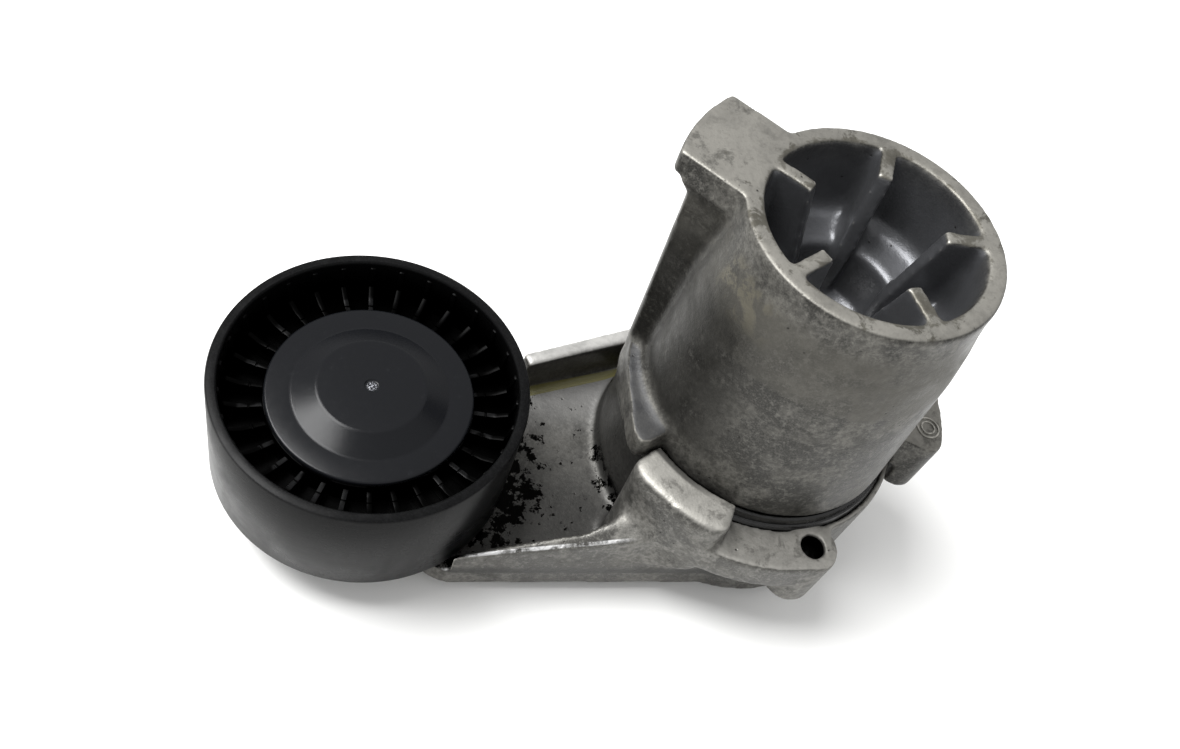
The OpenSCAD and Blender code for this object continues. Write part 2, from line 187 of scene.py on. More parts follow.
def maths(tree, operation, first, *rest):
    """A value changed by an operation, with each of the rest in turn if there are any."""
    for value in rest or (0.0,):
        first = wire(tree, "ShaderNodeMath", {0: first, 1: value}, operation=operation).outputs[0]
    return first


def times(tree, *values):
    """Values multiplied together, such as masks that all have to hold."""
    return maths(tree, "MULTIPLY", *values)


def plus(tree, *values):
    """Values added together."""
    return maths(tree, "ADD", *values)


def less(tree, value, taken):
    """One value with another taken from it."""
    return maths(tree, "SUBTRACT", value, taken)


def highest(tree, *values):
    """The highest of some values, such as masks of which any may hold."""
    return maths(tree, "MAXIMUM", *values)


def between(tree, amount, a, b):
    """A value that goes from a to b by an amount."""
    return wire(tree, "ShaderNodeMix", {0: amount, 2: a, 3: b}).outputs[0]


def blend(tree, amount, a, b):
    """One colour laid over another by an amount."""
    return wire(tree, "ShaderNodeMix", {0: amount, 6: a, 7: b}, data_type="RGBA").outputs[2]


def vector(tree, operation, a, b):
    """A sum, product or other operation on two vectors."""
    return wire(tree, "ShaderNodeVectorMath", {0: a, 1: b}, operation=operation).outputs[0]


def length(tree, value):
    """The length of a vector."""
    made = wire(tree, "ShaderNodeVectorMath", {0: value}, operation="LENGTH")
    return made.outputs["Value"]


def on_piece(tree):
    """A point's place on the piece, in metres."""
    return wire(tree, "ShaderNodeTexCoord").outputs["Object"]


def noise(tree, where, scale, detail=4.0, roughness=0.6, distortion=0.0):
    """Fractal noise on a position, scale per metre."""
    made = wire(tree, "ShaderNodeTexNoise", {"Vector": where, "Scale": scale, "Detail": detail,
                                             "Roughness": roughness, "Distortion": distortion})
    return made.outputs["Fac"]


def bump(tree, height, strength, distance):
    """The normal of a surface with this relief, its depth in metres."""
    made = wire(tree, "ShaderNodeBump", {"Height": height, "Strength": strength,
                                         "Distance": distance})
    return made.outputs["Normal"]


def grey(level, warmth=0.0):
    """A grey of this linear level, pushed towards brown or, below zero, towards blue."""
    return (level * (1 + 0.35 * warmth), level, level * (1 - warmth), 1)


def new_group(name, inputs, outputs):
    """A node group with these sockets, a type for each name. Returns its tree, the sockets that
    bring what each material gives it, and the sockets for its results."""
    tree = bpy.data.node_groups.new(name, "ShaderNodeTree")
    for side, sockets in (("INPUT", inputs), ("OUTPUT", outputs)):
        for key, kind in sockets.items():
            tree.interface.new_socket(key, in_out=side, socket_type="NodeSocket" + kind)
    return (tree, tree.nodes.new("NodeGroupInput").outputs,
            tree.nodes.new("NodeGroupOutput").inputs)


def use(tree, group, **values):
    """Places a node group with these values on its inputs, and returns its outputs."""
    inputs = {key.replace("_", " "): value for key, value in values.items()}
    return wire(tree, "ShaderNodeGroup", inputs, node_tree=group).outputs


def new_material(name, **constants):
    """A material, its node tree and its shader, with these constants set on the shader."""
    made = bpy.data.materials.new(name)
    made.use_nodes = True
    shader = made.node_tree.nodes["Principled BSDF"]
    for key, value in constants.items():
        shader.inputs[key.replace("_", " ")].default_value = value
    return made, made.node_tree, shader


# Where a point lies from a centre, in millimetres, and how far its face looks up.
place_group, given, result = new_group("place", {"Centre": "Vector"}, dict.fromkeys(
    ("Radius", "Distance", "Rise", "Along", "Across", "Up"), "Float"))
tree = place_group
offset = vector(tree, "SUBTRACT", vector(tree, "MULTIPLY", on_piece(tree), (1000, 1000, 1000)),
                given["Centre"])
along, across, rise = wire(tree, "ShaderNodeSeparateXYZ", {0: offset}).outputs
flat = wire(tree, "ShaderNodeCombineXYZ", {0: along, 1: across}).outputs[0]
normal = wire(tree, "ShaderNodeNewGeometry").outputs["Normal"]
link(tree, result, {
    "Radius": length(tree, flat), "Distance": length(tree, offset), "Rise": rise,
    "Along": along, "Across": across,
    "Up": wire(tree, "ShaderNodeSeparateXYZ", {0: normal}).outputs["Z"]})

# The die's skin on both castings: cloudy greys, painted light on faces that look up high on the
# piece, painted glints on its grain, and blotches, specks and grime. It also gives masks of pits,
# edges and corners.
skin_group, given, result = new_group("casting_skin", {
    "Dark": "Color", "Light": "Color", "Clean": "Color", "Clean From": "Float", "Glint": "Color",
    "Blotch": "Color", "Speck": "Color", "Grime": "Color"}, {
    "Color": "Color", "Cloud": "Float", "Stain": "Float", "Pit": "Float", "Edge": "Float",
    "Corner": "Float", "Height": "Float"})
tree = skin_group
spot, place = on_piece(tree), use(tree, place_group)
cloud = noise(tree, spot, 60, 6, 0.65, 0.4)
stain = noise(tree, spot, 170, 10, 0.74, 0.3)
grain = noise(tree, spot, 2600, 3, 0.6)
coarse = noise(tree, spot, 800, 4, 0.6)
tone = plus(tree, times(tree, cloud, 0.6), times(tree, stain, 0.6))
colour = blend(tree, ramp(tree, tone, 0.53, 0.69), given["Dark"], given["Light"])
# painted light: faces that look up, above the given height or towards +x, get the lit colour
looks_up = ramp(tree, place["Up"], 0.6, 0.95)
high = highest(tree, ramp(tree, place["Rise"], less(tree, given["Clean From"], 2),
                          given["Clean From"]), ramp(tree, place["Along"], 24, 28))
lit_top = times(tree, looks_up, ramp(tree, tone, 0.4, 0.62, 0.72, 1.0), high)
colour = blend(tree, lit_top, colour, given["Clean"])
colour = blend(tree, ramp(tree, grain, 0.42, 0.68, 0.0, 0.18), colour, given["Glint"])
blotch = times(tree, ramp(tree, noise(tree, spot, 95, 8, 0.7, 0.2), 0.5, 0.6),
               less(tree, 0.42, times(tree, high, 0.25)))
colour = blend(tree, blotch, colour, given["Blotch"])
speck = times(tree, ramp(tree, coarse, 0.49, 0.62, 0.0, 0.42),
              less(tree, 1.0, times(tree, looks_up, 0.72)))
colour = blend(tree, speck, colour, given["Speck"])
colour = blend(tree, ramp(tree, coarse, 0.46, 0.36, 0.0, 0.22), colour, given["Clean"])
colour = blend(tree, times(tree, ramp(tree, stain, 0.53, 0.64), 0.5), colour, given["Grime"])
cells = wire(tree, "ShaderNodeTexVoronoi", {"Vector": spot, "Scale": 420.0}).outputs["Distance"]
pit = times(tree, ramp(tree, cells, 0.16, 0.05), ramp(tree, noise(tree, spot, 90, 2), 0.54, 0.62))
rub = plus(tree, wire(tree, "ShaderNodeNewGeometry").outputs["Pointiness"],
           times(tree, less(tree, coarse, 0.5), 0.05))
link(tree, result, {
    "Color": colour, "Cloud": cloud, "Stain": stain, "Pit": pit,
    "Edge": ramp(tree, rub, 0.532, 0.59), "Corner": ramp(tree, rub, 0.475, 0.42),
    "Height": plus(tree, times(tree, grain, 0.5), coarse, times(tree, pit, -1.5))})

# Edges made bright, partly worn by use and partly painted highlight; inside corners darker; dirt in
# pits.
wear_and_highlight_group, given, result = new_group("casting_wear_and_highlights", {
    "Color": "Color", "Edge Color": "Color", "Cloud": "Float", "Pit": "Float", "Edge": "Float",
    "Corner": "Float"}, {"Color": "Color", "Roughness": "Float"})
tree, dark_fill = wear_and_highlight_group, grey(0.02, 0.15)
colour = blend(tree, times(tree, given["Corner"], 0.6), given["Color"], dark_fill)
# painted highlight, partly wear: edges get the bright edge colour
colour = blend(tree, times(tree, given["Edge"], 0.65), colour, given["Edge Color"])
link(tree, result, {"Color": blend(tree, given["Pit"], colour, dark_fill),
                    "Roughness": ramp(tree, given["Cloud"], 0.35, 0.7, 0.36, 0.6)})


def highlit_worn_casting(tree, skin, colour, edge):
    """Places a casting's wear and painted edge highlights over its colour, with its skin's masks.
    """
    masks = {key: skin[key] for key in ("Cloud", "Pit", "Edge", "Corner")}
    return use(tree, wear_and_highlight_group, Color=colour, Edge_Color=edge, **masks)


housing_metal, tree, shader = new_material("housing_aluminium", Metallic=0.6, IOR=1.45)
place = use(tree, place_group)
# painted light: the housing's upward faces above 90 mm and towards the loaded stop get a lit grey,
# and its grain painted glints
skin = use(tree, skin_group, Dark=grey(0.024, 0.1), Light=grey(0.105, 0.1), Clean=grey(0.215, 0.1),
           Clean_From=90, Glint=grey(0.24725, 0.1), Blotch=grey(0.0192, 0.14),
           Speck=grey(0.0216, 0.12), Grime=grey(0.012, 0.16))
# oil has browned and smoothed the band below the ring
wander = plus(tree, place["Rise"], times(tree, skin["Cloud"], 6))
band = times(tree, ramp(tree, wander, 79.5, 81), ramp(tree, wander, 100, 95),
             ramp(tree, skin["Cloud"], 0.35, 0.6, 0.35, 0.85))
colour = blend(tree, band, skin["Color"], grey(0.066, 0.14))
tan = times(tree, ramp(tree, place["Across"], -1, -4), ramp(tree, place["Across"], -22, -12),
            ramp(tree, place["Along"], -20, -26), ramp(tree, place["Rise"], 82, 87),
            ramp(tree, place["Rise"], 97, 93), ramp(tree, skin["Stain"], 0.46, 0.56), 0.45)
colour = blend(tree, tan, colour, grey(0.15, 0.28))
# the side next to the key lug's spine is blackened
side = times(tree, ramp(tree, place["Along"], -17, -27), ramp(tree, place["Rise"], 90, 80),
             ramp(tree, place["Rise"], 44, 50))
soot = ramp(tree, plus(tree, skin["Stain"], times(tree, skin["Cloud"], 0.6)), 0.66, 0.86)
colour = blend(tree, times(tree, side, plus(tree, times(tree, soot, 0.6), 0.25)), colour,
               grey(0.022, 0.12))
# the recess kept the die's smoother, bluer skin
recess = times(tree, ramp(tree, place["Radius"], 24.4, 23.2), ramp(tree, place["Rise"], 66, 67),
               ramp(tree, place["Rise"], 101.2, 100.6))
colour = blend(tree, recess, colour,
               blend(tree, skin["Cloud"], grey(0.065, -0.06), grey(0.135, -0.06)))
# the free stop's top is worn smooth
stop_top = times(tree, ramp(tree, place["Up"], 0.8, 0.95), ramp(tree, place["Along"], -26, -28),
                 ramp(tree, place["Rise"], 50, 48), 0.7)
colour = blend(tree, stop_top, colour, grey(0.045, -0.08))
# rusty smears lie on the engine face, most of them along its inner edge
smear = plus(tree, skin["Stain"], less(tree, ramp(tree, place["Radius"], 25.6, 24.4, 0.0, 0.1),
                                       ramp(tree, place["Radius"], 28, 29.5, 0.0, 0.08)))
colour = blend(tree, times(tree, ramp(tree, place["Rise"], 101.0, 101.3),
                           ramp(tree, smear, 0.545, 0.64, 0.0, 0.7)), colour, grey(0.055, 0.25))
worn_and_highlit = highlit_worn_casting(tree, skin, colour, edge=grey(0.6, 0.09))
link(tree, shader.inputs, {
    "Base Color": worn_and_highlit["Color"],
    "Roughness": between(tree, times(tree, recess, 0.75), worn_and_highlit["Roughness"], 0.31),
    "Normal": bump(tree, skin["Height"], 0.4, 0.0002)})

housing = bmesh.new()
# the heights of the recess's floor, the shelf round it, and the engine face
floor_z, shelf_z, face_z = 68.5, 81.5, 101.5
fillet = [(19.5 + p.x, shelf_z + 4.2 + p.y) for p in arc(3.2, -90, 0, 8)]
turned(housing, [
    (27.9, face_z), (28.3, 101.1), (28.3, 97.5), (28.8, 92.5), (29.8, 86.5), (30.7, 78.5),
    (31.3, 65.5), (32.3, 45.7), (32.65, 38.8), (32.1, 37.6), (30.9, 37.6), (30.9, 15.6),
    (30.3, 15), (28.2, 15), (28.2, 63.5), (14, 63.5), (14, 37.1), (9, 37.1), (9, floor_z),
    (12.4, floor_z), (12.8, shelf_z - 2.2), (13.1, shelf_z - 1.1), (13.8, shelf_z - 0.3),
    (15, shelf_z + 0.1), *fillet, (23.8, 100.9), (24.3, face_z)])

# the key lug's direction, and how far its two flat sides are from it
LUG_ANGLE, LUG_NEAR, LUG_FAR = 136.5, 14.6, 9.4


def lug_outline(r_in, r_out):
    """The lug's plan between two radii, bounded by its two flat sides."""
    def side(offset, r):
        return math.degrees(math.asin(offset / r))
    return (arc(r_in, LUG_ANGLE + side(LUG_NEAR, r_in), LUG_ANGLE - side(LUG_FAR, r_in), 24)
            + arc(r_out, LUG_ANGLE - side(LUG_FAR, r_out), LUG_ANGLE + side(LUG_NEAR, r_out), 24))


slab(housing, lug_outline(26, 42.5), 95.9, face_z)
slab(housing, lug_outline(26, 38.0), 93.0, 96.5, flare=1.075)
slab(housing, lug_outline(26, 37.3), 64, 96, flare=1.02)
slab(housing, lug_outline(30, 36.8), 39.5, 66, flare=1.015)

# the free stop, whose outer edge swells towards the arm's block: angles and radii
stop_edge = [(158, 36.3), (167, 36.5), (174, 36.8), (181, 37.2), (189.3, 38.1), (196.2, 39.5),
             (200.4, 40.5), (203, 40.75), (205, 40.3), (206.2, 39.0)]
slab(housing, arc(30.5, 206.2, 158, 24) + [polar(r, a) for a, r in stop_edge], 38.9, 45.7)
slab(housing, arc(33.9, 206, 158, 24) + arc(37.0, 158, 206, 24), 35.4, 39.5)


def sector(r_in, r_out, start, end, corner):
    """A ring sector's plan with its two outer corners rounded."""
    turn = math.degrees(math.asin(corner / (r_out - corner)))
    a, b = start + turn, end - turn
    first, last = polar(r_out - corner, a), polar(r_out - corner, b)
    return (arc(r_in, end, start, 16) + arc(corner, a - 90, a, 8, first)
            + arc(r_out, a, b, 16)[1:-1] + arc(corner, b, b + 90, 8, last))


# the loaded stop hangs down beside the cup, its inner side stepped back from the cup's wall
for r_in, z0, z1 in ((36.7, 27.8, 35.6), (34.5, 35.2, 38.2), (30.5, 37.6, 45.7)):
    slab(housing, sector(r_in, 43.5, -29, 2, 4), z0, z1)

# five ribs stand in the recess, their tops flush with the engine face
for i in range(5):
    rib = bmesh.new()
    slab(rib, [(15.2, 101.5), (10.3, 80.5), (10.3, 67.5), (20, 67.5), (25.8, 83.5), (25.8, 101.5)],
         -1.7, 1.7)
    stand(rib, 72 * i - 5.5)
    add_part(housing, rib)

cast(housing, voxel=0.6, creep=7, keep=0.55)
# two plain rings stand up from the loaded stop, too fine to go through the fusing above
for r in (3.0, 1.9):
    turned(housing, [(r - 0.45, 45.5), (r, 45.5), (r, 45.85), (r - 0.1, 45.95), (r - 0.35, 45.95),
                     (r - 0.45, 45.85)], steps=48, centre=(37.2, -12.9))
finished("housing_casting", housing, "housing", ["spring_housing"], housing_metal)

# ------------------------------------------------------------------ Tensioner arm
# The sprung arm, die cast like the housing: a round cup that holds the spring, a tray between two
# rails that runs out under the pulley, the stop block, and the ear that takes the lock pin.

# the pulley's axis and the lock pin's hole in plan, and the heights of the arm's underside, the
# tray's floor and the top of the cup's wall
PULLEY, PIN = (-94.8, 0), (4.9, -38.1)
under_z, tray_z, wall_z = 3.5, 10.2, 34.2

arm = bmesh.new()
turned(arm, [(35.5, under_z), (35.5, 33.9), (35.2, wall_z), (33.9, wall_z), (33.9, 8.2),
             (14, 8.2), (14, 35.5), (11, 35.5), (11, under_z)])
near_wall, far_wall = [(-13, -33.3), (-76, -31.3)], [(-54.5, 23.1), (-11.4, 36.6)]
slab(arm, [polar(34.7, 250), *near_wall, *arc(9.9, 264, 226, 8, (-74, -21.4)),
           *arc(10.8, 224, 107, 20, PULLEY), *far_wall, polar(34.9, 93),
           *arc(34.7, 95, 248, 52)], under_z, tray_z)
# the near rail climbs from the pulley until it is lost in the block
climb = slab(arm, [*near_wall, (-73.5, -29.6), (-60.8, -29.1), (-46.5, -29.2), (-39.9, -26.7),
                   (-31, -20), polar(34.6, 235), polar(34.6, 247)], 9, 21.5)
for v in climb:
    v.co.z = min(17 + 0.29 * (v.co.x + 76), 32)
slab(arm, [far_wall[1], far_wall[0], (-53.3, 19.4), (-27.1, 27.2), (-20, 29), (-10, 33.4)],
     9, 21.5)
# the boss that carries the bearing
turned(arm, [(0, under_z), (12.4, under_z), (12.4, 19.5), (0, 19.5)], centre=PULLEY,
       closed=False, steps=64)
# the stop block, with a rounded outer edge on top
block = bmesh.new()
block_top = slab(block, sector(34.4, 44.3, -152.9, -116.2, 4.4), under_z, 41.75)
rim = [e for e in block.edges
       if all(v in block_top and v.co.xy.length > 43 for v in e.verts)]
bmesh.ops.bevel(block, geom=rim, offset=2.6, segments=5, profile=0.5, affect="EDGES", material=-1)
# it overhangs the near wall, with a slanted underside
high, low = polar(44.3, -116.2) + Vector((0, 0, 24.7)), polar(44.3, -138) + Vector((0, 0, 11.2))
under = (low - high).cross(Vector((0, 0, 1)).cross(low - high)).normalized()
cut = bmesh.ops.bisect_plane(block, geom=block.verts[:] + block.edges[:] + block.faces[:],
                             plane_co=high, plane_no=under, clear_inner=under.z > 0,
                             clear_outer=under.z < 0)["geom_cut"]
bmesh.ops.holes_fill(block, edges=[e for e in cut if isinstance(e, bmesh.types.BMEdge)], sides=0)
add_part(arm, block)
# the ear, with a round socket for the lock pin
ear_z, pin_at = 25.2, Vector((*PIN, 0))
slab(arm, [*arc(34.5, -83, -120, 20), *arc(44.2, -120, -85.5, 20), *arc(4.6, -103, -263, 16, PIN)],
     ear_z, wall_z)
slab(arm, [pin_at + polar(4.6, 85), polar(34.5, -84), polar(34.5, -78), polar(34.7, -71),
           pin_at + polar(6.1, 25), pin_at + polar(4.6, 25)], ear_z, wall_z)
turned(arm, [(2.9, 16.6), (6.2, 16.6), (6.2, wall_z), (2.9, wall_z)], centre=PIN, steps=48)
# the hexagon under the pulley takes a spanner
hexagon = bmesh.new()
bmesh.ops.create_cone(hexagon, cap_ends=True, segments=6, radius1=10.6, radius2=10.97, depth=4.2,
                      matrix=Matrix.Translation((*PULLEY, 2.1)))
add_part(arm, hexagon)

arm_metal, tree, shader = new_material("arm_aluminium", IOR=1.45)
place = use(tree, place_group)
# painted light: the arm's upward faces above 32 mm get a lit grey, and its grain painted glints
skin = use(tree, skin_group, Dark=grey(0.05, 0.08), Light=grey(0.15, 0.08), Clean=grey(0.29, 0.08),
           Clean_From=32, Glint=grey(0.3335, 0.08), Blotch=grey(0.04, 0.14),
           Speck=grey(0.045, 0.12), Grime=grey(0.025, 0.16))
# painted light: the upward faces of the tray's far half are painted lighter
lit_far_tray = times(tree, ramp(tree, place["Up"], 0.6, 0.95),
               ramp(tree, place["Across"], 2, 20, 0.0, 0.9))
colour = blend(tree, lit_far_tray, skin["Color"], grey(0.3, 0.03))
# painted light on the far rail, which runs out at a slant: a highlight on top and shade down its
# face
from_rail = less(tree, place["Across"], times(tree, place["Along"], 0.265))
far_rail = times(tree, ramp(tree, from_rail, 32.2, 33.0), ramp(tree, place["Radius"], 36.6, 38))
rail_top_highlight = times(tree, far_rail, ramp(tree, place["Rise"], 19.5, 20.8),
                 ramp(tree, place["Up"], 0.45, 0.75))
colour = blend(tree, times(tree, rail_top_highlight, ramp(tree, skin["Stain"], 0.6, 0.42, 0.4, 0.9)),
               colour, grey(0.48, 0.04))
rail_face_shade = times(tree, less(tree, far_rail, rail_top_highlight), ramp(tree, place["Up"], 0.6, 0.3), 0.6)
colour = blend(tree, rail_face_shade, colour, grey(0.05, 0.15))
# painted shade: the cup's wall is painted black under the free stop
shade_under_stop = times(tree, ramp(tree, place["Radius"], 36.6, 35.9),
                   ramp(tree, place["Along"], -18, -28), 0.75)
colour = blend(tree, shade_under_stop, colour, grey(0.014, 0.05))
# oil has darkened the tray, more so on its near side
tray = times(tree, ramp(tree, place["Rise"], 13.5, 11.0), ramp(tree, place["Rise"], 9, 10))
soaked = plus(tree, times(tree, ramp(tree, place["Across"], 12, -20), 0.5), 0.35)
colour = blend(tree, times(tree, tray, soaked), colour, grey(0.045, 0.05))
# black sludge lies in the tray beside the pulley, along the near rail and at the cup's foot
from_pulley = use(tree, place_group, Centre=(*PULLEY, 0))["Radius"]
beside = times(tree, ramp(tree, from_pulley, 50, 37), ramp(tree, place["Across"], 25, 12))
near_rail = times(tree, ramp(tree, place["Across"], -24, -28),
                  ramp(tree, place["Along"], -33, -44))
at_foot = times(tree, ramp(tree, place["Radius"], 41, 37), ramp(tree, place["Across"], 14, -16),
                ramp(tree, place["Along"], -18, -24))
clots = plus(tree, times(tree, highest(tree, beside, near_rail, at_foot), 0.17),
             noise(tree, on_piece(tree), 240, 9, 0.72))
sludge_and_hole_shade = times(tree, ramp(tree, clots, 0.62, 0.64), ramp(tree, place["Rise"], 16, 12.5),
               ramp(tree, place["Across"], -30.8, -29.8), ramp(tree, place["Rise"], 9.4, 9.8))
# the lock pin's hole is painted black inside as painted shade, and joins the sludge's mask
from_pin = use(tree, place_group, Centre=(*PIN, 0))["Radius"]
shade_in_hole = times(tree, ramp(tree, from_pin, 3.3, 3.05), ramp(tree, place["Rise"], 33.9, 33.2),
                ramp(tree, place["Rise"], 16.5, 17))
sludge_and_hole_shade = highest(tree, sludge_and_hole_shade, shade_in_hole)
# clear oil has run into the foot of the far rail
foot_line = maths(tree, "ABSOLUTE", less(tree, from_rail, 32.1))
oil = times(tree, ramp(tree, foot_line, 1.3, 1.0), ramp(tree, place["Rise"], 14, 13),
            ramp(tree, place["Up"], 0.05, 0.2))
worn_and_highlit = highlit_worn_casting(tree, skin, colour, edge=grey(0.5, 0.09))
colour = blend(tree, times(tree, oil, 0.85), worn_and_highlit["Color"], (0.115, 0.105, 0.03, 1))
colour = blend(tree, sludge_and_hole_shade, colour, grey(0.002, 0.1))
# the outer edge of the near rail is rubbed bare, and painted with a highlight along it
lip_line = maths(tree, "ABSOLUTE", plus(tree, place["Across"], 33.1,
                                        times(tree, place["Along"], 0.032)))
lip_wear_and_highlight = times(tree, ramp(tree, lip_line, 0.5, 0.2), ramp(tree, place["Up"], 0.4, 0.6),
            ramp(tree, place["Along"], -34, -42), ramp(tree, skin["Stain"], 0.4, 0.55))
link(tree, shader.inputs, {
    "Base Color": blend(tree, lip_wear_and_highlight, colour, grey(0.7)),
    "Roughness": between(tree, highest(tree, oil, sludge_and_hole_shade), worn_and_highlit["Roughness"], 0.1),
    # the sludge and the pin hole's painted shade count as a black metal, which keeps them from
    # mirroring the sky
    "Metallic": highest(tree, sludge_and_hole_shade, ramp(tree, oil, 0, 1, 0.6, 0.0)),
    "Normal": bump(tree, skin["Height"], 0.4, 0.0002)})

cast(arm, voxel=0.6, creep=5, keep=0.8)
# the crease where the near rail meets the block is rounded off a little more
inner_edge = [v for v in arm.verts if v.co.z > 11.5 and -76 < v.co.x < -25 and -31 < v.co.y < -17
              and v.co.xy.length > 37.5]
relax(arm, inner_edge, 14)
finished("arm_casting", arm, "arm", ["tensioner_arm"], arm_metal)

# ------------------------------------------------------------------ Shaft, plate, bushes and spring
# A hollow steel shaft pressed into the housing carries the arm on two bronze bushes, and a riveted
# plate holds the arm on. The spring, its seat, the friction lining and the seal are in the cup.


# A surface whose colour, roughness and relief vary a little, as any real one does.
varied_group, given, result = new_group("varied_surface", {
    "Low": "Color", "High": "Color", "Smooth": "Float", "Rough": "Float", "Scale": "Float",
    "Streak": "Vector"}, {"Color": "Color", "Roughness": "Float", "Relief": "Float"})
tree = varied_group
spot = vector(tree, "MULTIPLY", on_piece(tree), given["Streak"])
broad = noise(tree, spot, times(tree, given["Scale"], 0.3), 5, 0.65)
fine = noise(tree, spot, times(tree, given["Scale"], 5), 3)
tone = plus(tree, times(tree, broad, 0.75), times(tree, fine, 0.25))
link(tree, result, {
    "Color": blend(tree, ramp(tree, tone, 0.36, 0.64), given["Low"], given["High"]),
    "Roughness": ramp(tree, tone, 0.35, 0.65, given["Smooth"], given["Rough"]),
    "Relief": fine})


def plain(name, low, high, scale, relief, rough, streak=(1, 1, 1), **constants):
    """A material of one finish, from a low to a high colour and from smooth to rough."""
    made, tree, shader = new_material(name, **constants)
    varied = use(tree, varied_group, Low=low, High=high, Smooth=rough[0], Rough=rough[1],
                 Scale=scale, Streak=streak)
    link(tree, shader.inputs, {"Base Color": varied["Color"], "Roughness": varied["Roughness"],
                               "Normal": bump(tree, varied["Relief"], relief, 0.0002)})
    return made


def wear(material, *names):
    """Gives CAD nodes that are shown as they are this material."""
    for name in names:
        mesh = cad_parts[name].data
        for i in range(len(mesh.materials)):
            mesh.materials[i] = material


wear(plain("turned_steel", grey(0.3), grey(0.48, 0.02), scale=400, relief=0.08,
           rough=(0.22, 0.4), streak=(1, 1, 9), Metallic=1.0),
     "pivot_shaft", "spacer_sleeve", "bolt_washer")
wear(plain("plated_steel", grey(0.2, 0.03), grey(0.34, 0.06), scale=240, relief=0.2,
           rough=(0.35, 0.6), Metallic=1.0), "retaining_plate", "rear_dust_shield")
wear(plain("spring_steel", grey(0.02), grey(0.05, 0.15), scale=200, relief=0.15,
           rough=(0.35, 0.6), Metallic=0.8), "torsion_spring")
wear(plain("bronze", (0.33, 0.2, 0.09, 1), (0.5, 0.32, 0.16, 1), scale=300, relief=0.1,
           rough=(0.3, 0.5), Metallic=1.0), "upper_pivot_bush", "lower_pivot_bush")
wear(plain("nylon", (0.5, 0.46, 0.36, 1), (0.62, 0.58, 0.48, 1), scale=260, relief=0.1,
           rough=(0.4, 0.55), IOR=1.5), "thrust_washer", "spring_seat", "friction_lining")
wear(plain("oily_rubber", grey(0.004), grey(0.012), scale=220, relief=0.2,
           rough=(0.12, 0.32), IOR=1.5), "rim_seal")

# ------------------------------------------------------------------ Bearing and its bolt
# A sealed 17 by 40 by 12 mm ball bearing, in ground steel with a brown nylon cage and rubber seals,
# sits on the sleeve. A low flanged bolt of blackened steel clamps it to the arm.
wear(plain("bearing_steel", grey(0.42), grey(0.6), scale=500, relief=0.03,
           rough=(0.12, 0.24), Metallic=1.0),
     "bearing_inner_ring", "bearing_outer_ring", "bearing_balls")
wear(plain("cage_nylon", (0.3, 0.16, 0.06, 1), (0.4, 0.24, 0.1, 1), scale=300, relief=0.1,
           rough=(0.4, 0.55)), "ball_cage")
wear(plain("seal_rubber", (0.05, 0.022, 0.012, 1), (0.09, 0.04, 0.02, 1), scale=300, relief=0.15,
           rough=(0.45, 0.6)), "bearing_seal_front", "bearing_seal_rear")
wear(plain("black_steel", grey(0.015), grey(0.04, 0.1), scale=350, relief=0.15,
           rough=(0.3, 0.5), Metallic=0.6), "pulley_bolt")

# ------------------------------------------------------------------ Pulley wheel
# One moulding of black glass-filled plastic over the bearing: a smooth belt face, a deep channel on
# each side with radial ribs that sweep up the rim's inner wall, and a hub that takes the dust cap.
wheel = bmesh.new()
turned(wheel, [
    (20, 21.3), (19.4, 21.3), (19.4, 17.2), (23.2, 17.2), (23.4, 17.4), (23.7, 26.2), (32.1, 26.2),
    (32.5, 14.2), (32.65, 13.6), (33.0, 13.3), (34.4, 13.3), (34.8, 13.45), (35, 13.9), (35, 42.7),
    (34.8, 43.12), (34.4, 43.3), (33.0, 43.3), (32.65, 43.0), (32.5, 42.4), (32.1, 30.6),
    (23.7, 30.6), (23.4, 36.0), (23.2, 36.3), (20, 36.3)], steps=180)
bmesh.ops.translate(wheel, verts=wheel.verts, vec=(*PULLEY, 0))
for i in range(30):
    rib = bmesh.new()
    slab(rib, [(23.2, 29.5), (23.2, 34.8), (25.9, 34.8), (26.05, 34.5), (26.3, 34.5), (26.45, 34.8),
               (28.4, 34.8), (31.2, 35.9), (31.7, 38.5), (32.1, 41.4), (32.9, 41.6), (32.9, 29.5)],
         -0.55, 0.55)
    slab(rib, [(23.2, 27.3), (32.9, 27.3), (32.9, 15.6), (31.9, 16.2), (30.4, 20.5), (28.0, 21.6),
               (23.2, 22.0)], -0.6, 0.6)
    level = [e for e in rib.edges if abs(e.verts[0].co.z - e.verts[1].co.z) < 0.1]
    bmesh.ops.bevel(rib, geom=level, offset=0.12, segments=2, profile=0.5, affect="EDGES",
                    material=-1)
    stand(rib, 12 * i + 4)
    bmesh.ops.translate(rib, verts=rib.verts, vec=(*PULLEY, 0))
    add_part(wheel, rib)

# The skin of moulded plastic: its fine grain, and the smudges and dust on it.
moulded_group, given, result = new_group("moulded_skin", dict.fromkeys((
    "Grain Scale", "Grain Detail", "Grain Roughness", "Dust Scale", "Dust Detail",
    "Dust Roughness", "Dust Distortion"), "Float"), {"Grain": "Float", "Dust": "Float"})
tree = moulded_group
link(tree, result, {
    "Grain": noise(tree, on_piece(tree), given["Grain Scale"], given["Grain Detail"],
                   given["Grain Roughness"]),
    "Dust": noise(tree, on_piece(tree), given["Dust Scale"], given["Dust Detail"],
                  given["Dust Roughness"], given["Dust Distortion"])})

wheel_plastic, tree, shader = new_material("wheel_plastic", IOR=1.36, Specular_IOR_Level=0.12)
place = use(tree, place_group, Centre=(*PULLEY, 0))
skin = use(tree, moulded_group, Grain_Scale=3200, Grain_Detail=3, Grain_Roughness=0.6,
           Dust_Scale=70, Dust_Detail=6, Dust_Roughness=0.65, Dust_Distortion=0.5)
